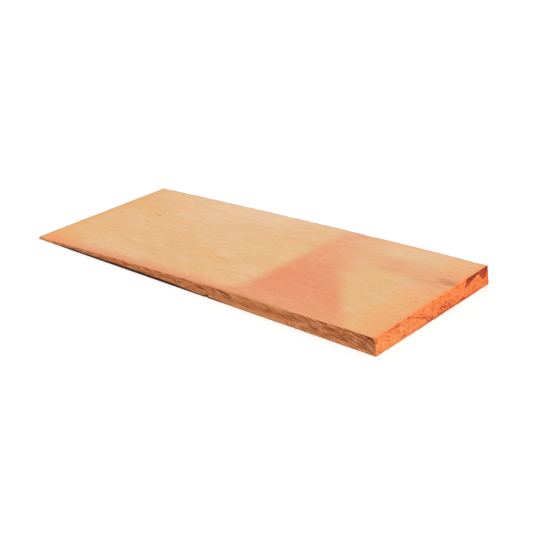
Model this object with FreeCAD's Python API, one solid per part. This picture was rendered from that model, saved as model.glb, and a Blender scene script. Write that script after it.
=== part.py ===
# Wood shingle: one tapered board of cedar, taper-sawn from a block, lying face up.
#
# +X runs along the grain from the thin tip to the thick butt, +Y across the width to the far edge, +Z up.
# The origin is on the floor, under the middle of the board.
# Lengths are millimetres and angles are degrees.

import FreeCAD, Part
import math
import os

# Board
LENGTH = 457.2  # tip to butt along the floor: the 18 inch length
WIDTH = 203.2  # 8 inches
TIP_THICKNESS = 2.7
NEAR_BUTT_THICKNESS = 18.1
FAR_BUTT_THICKNESS = 20.6  # more than the near edge, because the taper cut ran out of level
BOW_RISE = 1.9  # how far the dried board arches off the floor between its two ends
BUTT_LEAN = 7.7  # how far the butt's saw cut leans back over the board

# Torn hollows in the butt, where fibres broke out under the top edge near the far corner
TEAR_TO_TOP = 0.8  # lip of wood that is left above both hollows

# Inner hollow: a long crescent whose inner end hangs lower
INNER_TEAR_LENGTH = 34.0  # of its mouth, from point to point
INNER_TEAR_HEIGHT = 9.0  # of its mouth, at the widest
INNER_TEAR_DEPTH = 2.8  # into the butt, at the deepest
INNER_TEAR_TILT = 12.0  # its outer end is the higher one
INNER_TEAR_TO_FAR_EDGE = 12.0  # from its outer point

# Outer hollow: a shorter, taller one beside the far edge
OUTER_TEAR_LENGTH = 19.0
OUTER_TEAR_HEIGHT = 12.0
OUTER_TEAR_DEPTH = 3.4
OUTER_TEAR_TILT = -6.0
OUTER_TEAR_TO_FAR_EDGE = 3.0

# How far a saw runs past the wood on every side
SAW_OVERRUN = 20.0

HALF_LENGTH = LENGTH / 2
HALF_WIDTH = WIDTH / 2
BLOCK_HEIGHT = max(NEAR_BUTT_THICKNESS, FAR_BUTT_THICKNESS) + BOW_RISE + SAW_OVERRUN
LEAN_SLOPE = math.tan(math.radians(BUTT_LEAN))


def butt_thickness(y):
    """Thickness of the butt at one place across the width."""
    far_share = (y + HALF_WIDTH) / WIDTH
    return NEAR_BUTT_THICKNESS + (FAR_BUTT_THICKNESS - NEAR_BUTT_THICKNESS) * far_share


def underside_height(x):
    """Height of the arched underside above the floor."""
    return BOW_RISE * (1 - (x / HALF_LENGTH) ** 2)


def top_height(x, y):
    """Height of the top face above the floor: the underside plus the taper."""
    butt_share = (x + HALF_LENGTH) / LENGTH
    return underside_height(x) + TIP_THICKNESS + (butt_thickness(y) - TIP_THICKNESS) * butt_share


def butt_point(y, z):
    """A point of the butt's leaning saw cut."""
    return FreeCAD.Vector(HALF_LENGTH - z * LEAN_SLOPE, y, z)


def bow_edge(y, height, reach):
    """Curve along the grain at one place across the width, with the same parabola as the bow.

    A curve of three poles is that parabola exactly, and a straight line where the board has no bow.
    """
    start = FreeCAD.Vector(-reach, y, height(-reach))
    end = FreeCAD.Vector(reach, y, height(reach))
    pull = FreeCAD.Vector(0, y, 2 * height(0) - (start.z + end.z) / 2)
    curve = Part.BezierCurve()
    curve.setPoles([start, pull, end])
    return curve.toShape()


def closed_wire(edge, *corners):
    """Closes an edge into a wire, through the corners from the edge's end back to its start."""
    ring = [edge.Vertexes[-1].Point, *corners, edge.Vertexes[0].Point]
    sides = [Part.makeLine(a, b) for a, b in zip(ring, ring[1:])]
    return Part.Wire([edge, *sides])


def trimmed_block():
    """Block with its arched underside, square tip, straight edges and leaning butt, before the taper cut."""
    profile = closed_wire(
        bow_edge(-HALF_WIDTH, underside_height, HALF_LENGTH),
        butt_point(-HALF_WIDTH, BLOCK_HEIGHT),
        FreeCAD.Vector(-HALF_LENGTH, -HALF_WIDTH, BLOCK_HEIGHT),
    )
    return Part.Face(profile).extrude(FreeCAD.Vector(0, WIDTH, 0))


def taper_waste():
    """What the taper cut takes off: all that lies above the top face, which twists from edge to edge."""
    reach = HALF_LENGTH + SAW_OVERRUN
    height = BLOCK_HEIGHT + SAW_OVERRUN
    sections = []
    for y in (-HALF_WIDTH - SAW_OVERRUN, HALF_WIDTH + SAW_OVERRUN):
        edge = bow_edge(y, lambda x: top_height(x, y), reach)
        section = closed_wire(edge, FreeCAD.Vector(reach, y, height), FreeCAD.Vector(-reach, y, height))
        sections.append(section)
    return Part.makeLoft(sections, True, True)


def torn_hollow(length, height, depth, tilt, to_far_edge):
    """Spindle that gouges a pointed hollow: an arc turned about a line just outside the butt."""
    # A circle of this radius reaches this depth through a mouth of this height
    girth = (height**2 / 4 + depth**2) / (2 * depth)
    # The arc along the spindle reaches the same depth through a mouth of this length
    sweep = (length**2 / 4 + depth**2) / (2 * depth)
    half = math.sqrt(sweep**2 - (sweep - girth) ** 2)
    near_point = FreeCAD.Vector(0, -half, 0)
    far_point = FreeCAD.Vector(0, half, 0)
    belly = Part.Arc(near_point, FreeCAD.Vector(girth, 0, 0), far_point).toShape()
    outline = Part.Wire([belly, Part.makeLine(far_point, near_point)])
    spindle = Part.Face(outline).revolve(FreeCAD.Vector(0, 0, 0), FreeCAD.Vector(0, 1, 0), 360)

    middle_y = HALF_WIDTH - to_far_edge - length / 2 * math.cos(math.radians(tilt))
    middle_z = butt_thickness(middle_y) - TEAR_TO_TOP - height / 2
    outward = FreeCAD.Vector(1, 0, LEAN_SLOPE).normalize()
    middle = butt_point(middle_y, middle_z) + outward * (girth - depth)
    spindle.Placement = FreeCAD.Placement(middle, FreeCAD.Rotation(FreeCAD.Vector(1, 0, 0), tilt))
    return spindle


def shingle():
    """The whole board, one solid."""
    inner_tear = torn_hollow(
        INNER_TEAR_LENGTH, INNER_TEAR_HEIGHT, INNER_TEAR_DEPTH, INNER_TEAR_TILT, INNER_TEAR_TO_FAR_EDGE
    )
    outer_tear = torn_hollow(
        OUTER_TEAR_LENGTH, OUTER_TEAR_HEIGHT, OUTER_TEAR_DEPTH, OUTER_TEAR_TILT, OUTER_TEAR_TO_FAR_EDGE
    )
    board = trimmed_block().cut(taper_waste())
    return board.cut(inner_tear.fuse(outer_tear))


os.makedirs("parts", exist_ok=True)
board = shingle()
board.exportStep("parts/shingle.step")
print("shingle: valid", board.isValid(), "solids", len(board.Solids), "volume", round(board.Volume), "mm3")
print("box", board.optimalBoundingBox())
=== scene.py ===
# %% [markdown]
# # A taper-sawn wood shingle
#
# The object is one board of cedar, sawn from a block so that it runs from a thin tip to a thick butt.
# All of its looks come from how it was made: a smooth sawn top with a pink stain, two split edges with
# lifted splinters, and a bright end grain at the butt with a torn-out corner.
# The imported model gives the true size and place. This lesson grows a finished skin around it.

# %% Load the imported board
import functools
import math

import bpy
from mathutils import Color, Matrix, Vector


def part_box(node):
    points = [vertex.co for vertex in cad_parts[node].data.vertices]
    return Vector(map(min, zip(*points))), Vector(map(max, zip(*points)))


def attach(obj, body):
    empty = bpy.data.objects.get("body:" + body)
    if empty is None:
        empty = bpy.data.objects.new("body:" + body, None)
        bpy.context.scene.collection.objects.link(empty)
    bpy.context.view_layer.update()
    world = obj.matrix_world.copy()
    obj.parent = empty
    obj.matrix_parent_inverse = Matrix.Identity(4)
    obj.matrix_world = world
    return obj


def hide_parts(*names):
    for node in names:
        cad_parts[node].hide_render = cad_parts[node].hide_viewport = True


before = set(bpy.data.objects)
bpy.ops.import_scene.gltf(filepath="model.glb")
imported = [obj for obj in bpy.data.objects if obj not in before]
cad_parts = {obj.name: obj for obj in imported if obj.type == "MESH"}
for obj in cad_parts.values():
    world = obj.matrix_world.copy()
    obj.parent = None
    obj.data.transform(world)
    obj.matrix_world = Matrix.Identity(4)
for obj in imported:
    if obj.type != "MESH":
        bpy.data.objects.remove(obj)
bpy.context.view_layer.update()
print("packed nodes:", sorted(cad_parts))

# %% [markdown]
# ## Measure the board
#
# A visual piece has to lie exactly where the solid is, so its sizes are read from the solid and not
# typed again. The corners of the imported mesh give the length, the width, the three thicknesses and the
# lean of the butt. The bow shows only between the ends, so a ray from below finds the underside there.
# All of the lesson's own values are millimetres, and the mesh is turned into metres at the very end.

# %% Read the sizes from the solid
MM = 1000.0  # millimetres in a metre
CORNER_REACH = 0.05  # millimetres within which a point counts as lying on a face
ALONG, ACROSS = 0, 1  # the board's first two axes

cad_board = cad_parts["shingle"]
low, high = (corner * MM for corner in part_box("shingle"))
cad_points = [vertex.co * MM for vertex in cad_board.data.vertices]


def highest_point(axis, face):
    """The highest corner of the solid on one of its end or edge planes."""
    on_face = [point for point in cad_points if abs(point[axis] - face) < CORNER_REACH]
    return max(on_face, key=lambda point: point.z)


near_corner = highest_point(ACROSS, low.y)
far_corner = highest_point(ACROSS, high.y)
from_below = Vector((0, 0, -1))
_, underside_point, _, _ = cad_board.ray_cast(from_below, -from_below)

SIZES = {
    "Length": high.x - low.x,
    "Width": high.y - low.y,
    "Tip thickness": highest_point(ALONG, low.x).z,
    "Near butt thickness": near_corner.z,
    "Far butt thickness": far_corner.z,
    "Bow rise": underside_point.z * MM,
    "Butt lean": (high.x - near_corner.x) / near_corner.z,
}
HALF_LENGTH = SIZES["Length"] / 2
HALF_WIDTH = SIZES["Width"] / 2
for size_name, size_value in SIZES.items():
    print(f"{size_name}: {size_value:.2f}")

# %% [markdown]
# ## Camera
#
# The photograph looks down on the board from the butt's near corner, through a lens of about 80 mm on a
# 36 mm sensor. A camera could be aimed with a Track To constraint. Here its matrix is written out as
# three turns, because the picture is also rolled by a third of a degree, which no constraint gives.

# %% Place the camera
CAMERA_PLACE = Vector((0.7598, -0.9081, 0.5084))  # metres
CAMERA_AZIMUTH = 39.07  # degrees, from straight in front of the near edge towards the butt
CAMERA_ELEVATION = 23.70
CAMERA_ROLL = -0.35
CAMERA_LENS = 80.11  # millimetres
CAMERA_SENSOR = 36.0


def turn(degrees, axis):
    """A rotation matrix about one axis."""
    return Matrix.Rotation(math.radians(degrees), 4, axis)


camera_data = bpy.data.cameras.new("camera")
camera_data.lens = CAMERA_LENS
camera_data.sensor_width = CAMERA_SENSOR
camera = bpy.data.objects.new("camera", camera_data)
camera.matrix_world = (
    Matrix.Translation(CAMERA_PLACE)
    @ turn(CAMERA_AZIMUTH, "Z")
    @ turn(90 - CAMERA_ELEVATION, "X")
    @ turn(CAMERA_ROLL, "Z")
)
scene = bpy.context.scene
scene.collection.objects.link(camera)
scene.camera = camera
print("camera stands", round(CAMERA_PLACE.length, 3), "m from the board")

# %% [markdown]
# ## Floor and background
#
# The board is shown on pure white. More light would whiten a grey floor, but it would bleach the wood
# too. So the floor and the world answer two kinds of ray in two ways: the camera sees white, and the
# light that bounces about sees an ordinary pale floor and a dimmer sky. The shadow still falls on it.

# %% Make the floor and the sky
FLOOR_SIDE = 16.0  # metres
FLOOR_BOUNCE = (0.6, 0.6, 0.6, 1)  # what the floor throws back at the board
FLOOR_SHOWN = (1.06, 1.06, 1.06, 1)  # what the camera sees of it
SKY_FILL = 0.45  # how bright the sky is for the board
WHITE = (1, 1, 1, 1)

scene.view_settings.view_transform = "Standard"


def seen_directly(tree):
    """One for rays that carry a picture: from the camera, off gloss or through glass. Zero for the rest."""
    path = tree.nodes.new("ShaderNodeLightPath")
    shown = path.outputs["Is Camera Ray"]
    for kind in ("Is Glossy Ray", "Is Transmission Ray"):
        either = tree.nodes.new("ShaderNodeMath")
        either.operation = "MAXIMUM"
        tree.links.new(shown, either.inputs[0])
        tree.links.new(path.outputs[kind], either.inputs[1])
        shown = either.outputs[0]
    return shown


def pale_floor():
    """White where the camera looks, and a plain pale floor for the light that bounces."""
    material = bpy.data.materials.new("pale_floor")
    material.use_nodes = True
    tree = material.node_tree
    tree.nodes.clear()
    bounce = tree.nodes.new("ShaderNodeBsdfDiffuse")
    bounce.inputs["Color"].default_value = FLOOR_BOUNCE
    shown = tree.nodes.new("ShaderNodeBsdfDiffuse")
    shown.inputs["Color"].default_value = FLOOR_SHOWN
    choice = tree.nodes.new("ShaderNodeMixShader")
    tree.links.new(seen_directly(tree), choice.inputs[0])
    tree.links.new(bounce.outputs[0], choice.inputs[1])
    tree.links.new(shown.outputs[0], choice.inputs[2])
    output = tree.nodes.new("ShaderNodeOutputMaterial")
    tree.links.new(choice.outputs[0], output.inputs["Surface"])
    return material


bpy.ops.mesh.primitive_plane_add(size=FLOOR_SIDE)
floor = bpy.context.object
floor.name = "floor"
floor.data.materials.append(pale_floor())

world = bpy.data.worlds.new("studio")
world.use_nodes = True
scene.world = world
sky = world.node_tree.nodes["Background"]
sky.inputs["Color"].default_value = WHITE
sky_strength = world.node_tree.nodes.new("ShaderNodeMapRange")
sky_strength.inputs["To Min"].default_value = SKY_FILL
world.node_tree.links.new(seen_directly(world.node_tree), sky_strength.inputs["Value"])
world.node_tree.links.new(sky_strength.outputs["Result"], sky.inputs["Strength"])
print("floor", FLOOR_SIDE, "m wide, sky fill", SKY_FILL)

# %% [markdown]
# ## Light
#
# In the photograph the butt is the brightest face, the top is nearly as bright and the near edge is in
# half shade, so the main light comes from beyond the butt, a little to the near side. A sun lamp with a
# wide angle is a simple soft studio light: it has no distance to tune, and its shadow edges are soft.

# %% Hang the main light
LIGHT_AZIMUTH = 79.0  # degrees, from straight in front of the near edge towards the butt
LIGHT_ELEVATION = 51.0
LIGHT_SPREAD = 22.0
LIGHT_LEVEL = 0.705  # share of full white on a surface that faces the light

lamp = bpy.data.lights.new("main_light", "SUN")
lamp.energy = LIGHT_LEVEL * math.pi
lamp.angle = math.radians(LIGHT_SPREAD)
main_light = bpy.data.objects.new("main_light", lamp)
main_light.matrix_world = turn(LIGHT_AZIMUTH, "Z") @ turn(90 - LIGHT_ELEVATION, "X")
scene.collection.objects.link(main_light)
print("light level", LIGHT_LEVEL, "from", LIGHT_AZIMUTH, "degrees")

# %% [markdown]
# ## Formulas made of nodes
#
# Wood is a solid pattern that the saw cuts through, so both its shape and its colour follow formulas of
# x, y and z. Wiring each formula by hand would bury it in sockets. This small class stands for a number
# in a node tree: adding or multiplying two of them makes the Math node. It works in shader trees and in
# geometry trees alike, so a pocket or a crack can be carved and coloured by one and the same formula.

# %% Write sums as nodes
def feed(tree, slot, value):
    """Links a formula or a socket to an input, or sets the input to a plain value."""
    source = getattr(value, "socket", value)
    if isinstance(source, bpy.types.NodeSocket):
        tree.links.new(source, slot)
    else:
        slot.default_value = source


class Formula:
    """A number that changes from point to point, worked out by Math nodes."""

    def __init__(self, tree, socket):
        self.tree = tree
        self.socket = socket

    def math(self, operation, *others):
        node = self.tree.nodes.new("ShaderNodeMath")
        node.operation = operation
        for slot, value in zip(node.inputs, (self, *others)):
            feed(self.tree, slot, value)
        return Formula(self.tree, node.outputs[0])

    def __add__(self, other):
        return self.math("ADD", other)

    def __sub__(self, other):
        return self.math("SUBTRACT", other)

    def __mul__(self, other):
        return self.math("MULTIPLY", other)

    def __truediv__(self, other):
        return self.math("DIVIDE", other)

    def __rsub__(self, other):
        return self * -1 + other

    __radd__ = __add__
    __rmul__ = __mul__

    def at_least(self, other):
        return self.math("MAXIMUM", other)

    def at_most(self, other):
        return self.math("MINIMUM", other)

    def over(self, other):
        """One where this is more than the other, and zero elsewhere."""
        return self.math("GREATER_THAN", other)


print("sums, products and limits become Math nodes")

# %% [markdown]
# Ramps say where on the board something is, and fade it in over some millimetres, because nothing on wood
# starts at a hard line. Ovals do the same for spots. Both could be drawn as mask pictures, but a formula has
# no pixels and works inside the wood as well.

# %% Write ramps and ovals
def ramp(value, start, end):
    """Rises smoothly from 0 to 1 as the value goes from start to end."""
    node = value.tree.nodes.new("ShaderNodeMapRange")
    node.interpolation_type = "SMOOTHSTEP"
    feed(value.tree, node.inputs["Value"], value)
    feed(value.tree, node.inputs["From Min"], start)
    feed(value.tree, node.inputs["From Max"], end)
    return Formula(value.tree, node.outputs["Result"])


def stretch(value, ends):
    """Rises along the first two ends and, where four are given, falls again along the last two."""
    rise = ramp(value, *ends[:2])
    if len(ends) == 2:
        return rise
    fade, end = ends[2:]
    return rise * ramp(value, end, fade)


def up_from(least, share):
    """Grows from a least value to one as the share goes from 0 to 1."""
    return least + (1 - least) * share


def oval(step, half, other_step, other_half):
    """Grows outwards from an oval's middle, where it is 0, to 1 on its rim and more beyond."""
    return (step / half).math("POWER", 2) + (other_step / other_half).math("POWER", 2)


print("ramps and ovals ready")

# %% [markdown]
# Noises give the irregular part of everything that grew or tore. A noise is written as its three spans
# along, across and up, its seed and its detail. Long spans along the board turn it into fibres, and with
# the seed written down it comes out the same on every run.

# %% Write noises
def spot_of(place, span, seed):
    """Joins x, y and z into the point that a texture reads, measured in spans and moved by the seed."""
    tree = place[0].tree
    spot = tree.nodes.new("ShaderNodeCombineXYZ")
    for slot, part, part_span in zip(spot.inputs, place, span):
        feed(tree, slot, part / part_span + seed)
    return spot.outputs[0]


def noise(place, span, seed, detail=2.0):
    """Smooth noise around one half, with blotches about as large as the three spans."""
    tree = place[0].tree
    node = tree.nodes.new("ShaderNodeTexNoise")
    node.inputs["Scale"].default_value = 1.0
    node.inputs["Detail"].default_value = detail
    tree.links.new(spot_of(place, span, seed), node.inputs["Vector"])
    return Formula(tree, node.outputs["Fac"])


def noises(place, patterns):
    """One noise for each named pattern."""
    return {name: noise(place, *pattern) for name, pattern in patterns.items()}


def swing(noise_value, reach):
    """A noise made to swing both ways about zero, by about half the reach."""
    return (noise_value - 0.5) * reach


print("noises ready")

# %% [markdown]
# ## Patterns that run through the wood
#
# Three patterns are shared by the faces. Growth rings are thin layers, tilted across the board, that show
# as fine lines on the top and as slanting lines on the butt. Fibres are long streaks. They run down
# towards the butt, because the block was split a little across its grain, and they tear out as splinters.
# Specks are the dark pockets in the end grain. Every pattern takes millimetres.

# %% Describe rings and fibres
RING_PITCH = 0.85  # from layer to layer, going up
RING_SLOPE = -0.36  # how far the layers rise for each millimetre across the width
TOP_SLOPE = 0.034  # and for each millimetre along the board
RING_WANDER = ((120, 25, 25), 3.1)
RING_BEND = 5.0  # how many rings the layers wander
LATE_WOOD = (0.35, 0.85, 0.85, 1.0)  # shares of a ring between which it darkens, and pales again
FIBRE_DIP = 0.1  # how far fibres drop for each millimetre along an edge, in its middle
FIBRE_CURVE = 0.0003  # and how much faster they drop towards the butt
FIBRE_WANDER = ((34, 90, 8), 5.9)
FIBRE_BEND = 3.0  # how far they wander up and down


def ring_layer(place):
    """Height above the growth layer that passes through the origin."""
    x, y, z = place
    return z - y * RING_SLOPE - x * TOP_SLOPE


def ring_lines(place):
    """Late wood, from 0 between the rings to 1 on each thin dark line."""
    bend = noise(place, *RING_WANDER) * RING_BEND
    phase = (ring_layer(place) / RING_PITCH + bend).math("FRACT")
    return stretch(phase, LATE_WOOD)


def along_fibres(place):
    """The same place with heights measured from the dipping, wandering fibres."""
    x, y, z = place
    bend = swing(noise(place, *FIBRE_WANDER), FIBRE_BEND)
    return x, y, z + x * (x * FIBRE_CURVE + FIBRE_DIP) + bend


print("rings every", RING_PITCH, "mm, fibres dip", FIBRE_DIP)

# %% [markdown]
# The specks could be left to one noise. But the photograph shows them gathered in a dozen clusters, and a
# dark crack that follows one growth layer across the butt. So a few stand alone, more show inside each
# cluster's oval, and the crack is the line where the height above one layer is nearly zero.

# %% Describe the specks and the crack
SPECK_POCKETS = ((9, 5.2, 1.15), 8.3, 3.0)
POCKET_SQUEEZE = 0.05  # pockets run on into the wood, so they hardly change along the board
LOOSE_SPECKS = (0.58, 0.76)  # how dense a pocket is where it shows by itself
LOOSE_STRENGTH = 0.45
GATHERED_SPECKS = (0.36, 0.62)  # and inside a cluster
CLUSTER_RIM = (1.6, 0.3)  # where a cluster fades in, as its oval counts

# Each cluster of specks: how far across and up its middle is, and half its width and height
SPECK_CLUSTERS = {
    "near_edge": (-99.5, 12.0, 2.4, 1.6),
    "upper_near": (-68.5, 17.0, 10.0, 2.2),
    "below_upper_near": (-65.5, 11.4, 4.5, 2.0),
    "lower_near": (-53.5, 4.0, 3.2, 3.0),
    "short_streak": (-48.0, 8.2, 3.0, 1.8),
    "upper_smear": (-44.5, 16.4, 4.5, 2.2),
    "middle": (-10.0, 3.2, 6.5, 3.0),
    "top_dot": (-2.7, 17.6, 2.2, 1.4),
    "red_patch": (19.0, 4.6, 16.0, 5.5),
    "far_smear": (40.5, 17.2, 3.0, 1.6),
    "low_rim": (50.0, 1.7, 8.0, 1.8),
    "far_corner": (98.5, 3.0, 3.0, 5.0),
}
CRACK_LAYER = -7.2  # the growth layer that the crack follows
CRACK_ACROSS = (-48, -38, -18, -8)  # where it fades in and out, across the butt
CRACK_WANDER = ((90, 6, 6), 2.9)
CRACK_SWING = 3.0  # how far it leaves the layer
CRACK_WIDTH = (1.5, 0.4)  # how far beside its line it fades in
CRACK_FILL = (0.36, 0.6)  # how dense the pockets are that darken it
CRACK_LEAST = 0.6
CRACK_STRENGTH = 0.9


def end_specks(place):
    """Dark pockets in the end grain, from 0 to 1, drawn out along the rings and gathered in clusters."""
    x, y, z = place
    layer = ring_layer(place)
    pocket = noise((x * POCKET_SQUEEZE, y, layer), *SPECK_POCKETS)
    specks = ramp(pocket, *LOOSE_SPECKS) * LOOSE_STRENGTH
    for across_butt, above, half_width, half_height in SPECK_CLUSTERS.values():
        reach = oval(y - across_butt, half_width, z - above, half_height)
        specks = specks.at_least(ramp(reach, *CLUSTER_RIM) * ramp(pocket, *GATHERED_SPECKS))
    beside = (layer - CRACK_LAYER + swing(noise(place, *CRACK_WANDER), CRACK_SWING)).math("ABSOLUTE")
    crack = ramp(beside, *CRACK_WIDTH) * stretch(y, CRACK_ACROSS)
    crack = crack * up_from(CRACK_LEAST, ramp(pocket, *CRACK_FILL))
    return specks.at_least(crack * CRACK_STRENGTH)


print(len(SPECK_CLUSTERS), "clusters of specks and a crack")

# %% [markdown]
# ## Starting and closing a wood finish
#
# All four finishes begin with the point in Object coordinates and end in one Principled shader. Object
# coordinates hold still on the board from every view. Dry sawn cedar is dull, so the shader's specular
# level is low, and a Bump node gives the fibres that are too fine to be carved.

# %% Start and close a finish
DULL_SHINE = 0.22
GRAIN_ROUGHNESS = 0.2  # what the grain adds to a finish's least roughness
COLOUR_STEPS = 255


def paint(red, green, blue):
    """A colour written in the usual 0 to 255 steps, as the linear light that shaders take."""
    shares = [step / COLOUR_STEPS for step in (red, green, blue)]
    return (*Color(shares).from_srgb_to_scene_linear(), 1.0)


def start_wood(name):
    """A new material with an empty tree, and the shaded point in millimetres."""
    material = bpy.data.materials.new(name)
    material.use_nodes = True
    tree = material.node_tree
    tree.nodes.clear()
    coordinates = tree.nodes.new("ShaderNodeTexCoord")
    split = tree.nodes.new("ShaderNodeSeparateXYZ")
    tree.links.new(coordinates.outputs["Object"], split.inputs[0])
    place = tuple(Formula(tree, output) * MM for output in split.outputs)
    return material, place


def carved(material, name):
    """A depth or a gap in millimetres that the board's own mesh remembers at each point."""
    node = material.node_tree.nodes.new("ShaderNodeAttribute")
    node.attribute_name = name
    return Formula(material.node_tree, node.outputs["Fac"])


def close_wood(material, colour, least_roughness, grain, relief):
    """Ends a finish: colour, roughness and a relief in millimetres go into one shader."""
    tree = material.node_tree
    bump = tree.nodes.new("ShaderNodeBump")
    bump.inputs["Distance"].default_value = 1 / MM
    feed(tree, bump.inputs["Height"], relief)
    shader = tree.nodes.new("ShaderNodeBsdfPrincipled")
    shader.inputs["Specular IOR Level"].default_value = DULL_SHINE
    feed(tree, shader.inputs["Base Color"], colour)
    feed(tree, shader.inputs["Roughness"], least_roughness + grain * GRAIN_ROUGHNESS)
    tree.links.new(bump.outputs["Normal"], shader.inputs["Normal"])
    output = tree.nodes.new("ShaderNodeOutputMaterial")
    tree.links.new(shader.outputs[0], output.inputs["Surface"])
    print(material.name, "has", len(tree.nodes), "nodes")
    return material


print("finishes are dull, with a specular level of", DULL_SHINE)

# %% [markdown]
# Wood's colour comes in layers, as a stainer would lay them: a ground, then clouds, stains, rims, lines and
# dirt. Each could be a Mix node wired by hand. A table is easier to read and to change: one row is one
# layer, with its strength, its paint and the fields that say where it lies. A field is a place, a gap to
# an edge, or a noise, and beside it stand the values between which the layer fades in, and out again.

# %% Lay layers of paint
MIX_SHARE, MIX_UNDER, MIX_OVER, MIX_RESULT = 0, 6, 7, 2  # sockets of a Mix node that mixes colours
AS_IS = None  # in a row: the field itself says how strong the layer is


def tint(share, under, over):
    """Lays one colour over another, as strongly as the share says."""
    node = share.tree.nodes.new("ShaderNodeMix")
    node.data_type = "RGBA"
    feed(share.tree, node.inputs[MIX_SHARE], share)
    feed(share.tree, node.inputs[MIX_UNDER], under)
    feed(share.tree, node.inputs[MIX_OVER], over)
    return node.outputs[MIX_RESULT]


def lay(colour, layers, fields):
    """Lays the layers of a table over a colour, one after another."""
    for strength, over, *follows in layers.values():
        share = strength
        for field, ends in follows:
            share = share * (fields[field] if ends is AS_IS else stretch(fields[field], ends))
        colour = tint(share, colour, over)
    return colour


def marks(fields, table):
    """Adds up fine marks: each follows a field between two values, with its own strength."""
    return sum(ramp(fields[name], *ends) * strength for name, (ends, strength) in table.items())


def heights(fields, table):
    """Adds up a relief: each field times its height in millimetres."""
    return sum(fields[name] * height for name, height in table.items())


print("layers are rows of strength, paint and fields")

# %% [markdown]
# ## Sawn top
#
# The top is pale tan with fine lines along the grain. A salmon stain starts at a straight line across the
# board, where another board covered it, and ends on a slant that is sharp on the near side and soft on
# the far one. Painting an image would be one way. Masks made of ramps keep every stain sharp at any
# distance and easy to move.

# %% Describe the stain
STAIN_START = 54.0  # where the salmon stain begins, along the board
START_SOFTNESS = 9.5
START_RAGGED = 3.0
STAIN_END = 114.0  # where its slanting end crosses the middle of the board
NEAR_SLANT = 0.76  # how far that end moves for each millimetre across, on the near half
FAR_SLANT = 0.12
END_RAGGED = 12.0
NEAR_SOFTNESS = 13.0
FAR_SOFTNESS = 20.0  # what the far half adds to it
SOFTER_ACROSS = (-45, 55)
BLEED_REACH = 60.0  # how far the start runs along the streaks beside the near edge
BLEED_STREAK = 0.37  # the streak at which it stays where it is
BLEED_ACROSS = (-60, -95)
STAIN_LEAST = 0.44  # strength at the far edge
STAIN_MORE = 0.5
MORE_ACROSS = (85, -30)
STAIN_LESS = 0.2  # beside the near edge
LESS_ACROSS = (-60, -92)
STAIN_CLOUDS = 0.6


def salmon_stain(fields):
    """The stain between the straight line and the slanting one, strongest on the near half."""
    x, y = fields["x"], fields["y"]
    cloud, streaks = fields["cloud"], fields["streaks"]
    bleed = ramp(y, *BLEED_ACROSS) * (streaks - BLEED_STREAK) * BLEED_REACH
    start = x + swing(cloud, START_RAGGED) + bleed
    begun = ramp(start, STAIN_START - START_SOFTNESS, STAIN_START + START_SOFTNESS)
    end = (STAIN_END - y * NEAR_SLANT).at_least(STAIN_END - y * FAR_SLANT)
    softness = NEAR_SOFTNESS + FAR_SOFTNESS * ramp(y, *SOFTER_ACROSS)
    past_end = (x - end + swing(cloud, END_RAGGED) + swing(streaks, END_RAGGED)) / softness
    strength = STAIN_LEAST + STAIN_MORE * ramp(y, *MORE_ACROSS) - STAIN_LESS * ramp(y, *LESS_ACROSS)
    return begun * ramp(past_end, 1.0, -1.0) * (strength + swing(cloud, STAIN_CLOUDS))


print("stain from", STAIN_START, "to", STAIN_END, "mm along the middle")

# %% [markdown]
# A few small brown spots lie on the top: two dots near the tip, a dot and two smudges near the butt. They
# are ovals drawn out along the grain, and a fine noise breaks them into streaks, as pitch soaks in.

# %% Describe the spots
SPOT_RIM = (1.5, 0.1)  # where a spot fades in, as its oval counts
SPOT_GRAIN = (1.6, 0.3)  # its streaks' length and width, in shares of the spot's own halves
SPOT_SEED = 3.8
SPOT_STREAKS = (0.66, 0.42)
SPOT_LEAST = 0.4

# Each spot: where it is along and across the board, half its length and width, and its strength
TOP_SPOTS = {
    "far_dot": (-162.0, 24.0, 3.8, 2.2, 0.6),
    "near_dot": (-161.0, 2.0, 3.8, 2.0, 0.42),
    "butt_smudge": (216.0, 41.5, 15.0, 7.5, 0.5),
    "faint_smudge": (198.0, 30.0, 17.0, 6.0, 0.2),
    "butt_dot": (214.3, -15.8, 1.8, 1.2, 0.75),
}


def brown_spot(place, along_board, across_board, half_length, half_width):
    """A small long spot on the top, soft at its edge and made of streaks."""
    x, y, _ = place
    reach = oval(x - along_board, half_length, y - across_board, half_width)
    grain_length, grain_width = half_length * SPOT_GRAIN[0], half_width * SPOT_GRAIN[1]
    grain = noise(place, (grain_length, grain_width, grain_width), SPOT_SEED)
    return ramp(reach, *SPOT_RIM) * up_from(SPOT_LEAST, ramp(grain, *SPOT_STREAKS))


print(len(TOP_SPOTS), "spots on the top")

# %% [markdown]
# The rims of the top are warmer than its middle: pink along the near edge, amber at the tip, orange at the
# butt. The arrises themselves are brown, grey or freshly broken. All of them follow gaps to the board's
# edges, and a speckle noise makes each gap ragged, so that no rim runs as an even stripe.

# %% Measure the gaps to the rims
RIM_STREAKS = 16.0  # how far streaks carry the pink of the near rim inwards

# How far speckles move each rim
RIM_SPECKLE = {
    "near_rim": 12.0,
    "near_arris": 4.0,
    "far_rim": 6.0,
    "tip_rim": 22.0,
    "tip_corner": 20.0,
    "butt_rim": 9.0,
    "butt_arris": 5.0,
}
# Rims that are the sum or the greater of two: the gaps between which each fades in, and its strength
AMBER_RIM = ((28.0, 3.0), 0.62)
AMBER_HAZE = ((120.0, 20.0), 0.2)
BUTT_HAZE = ((48.0, 5.0), 0.36)
BUTT_GLOW = ((6.0, 1.0), 0.45)


def faded(value, ends, strength):
    """A ramp of its own strength."""
    return ramp(value, *ends) * strength


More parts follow.
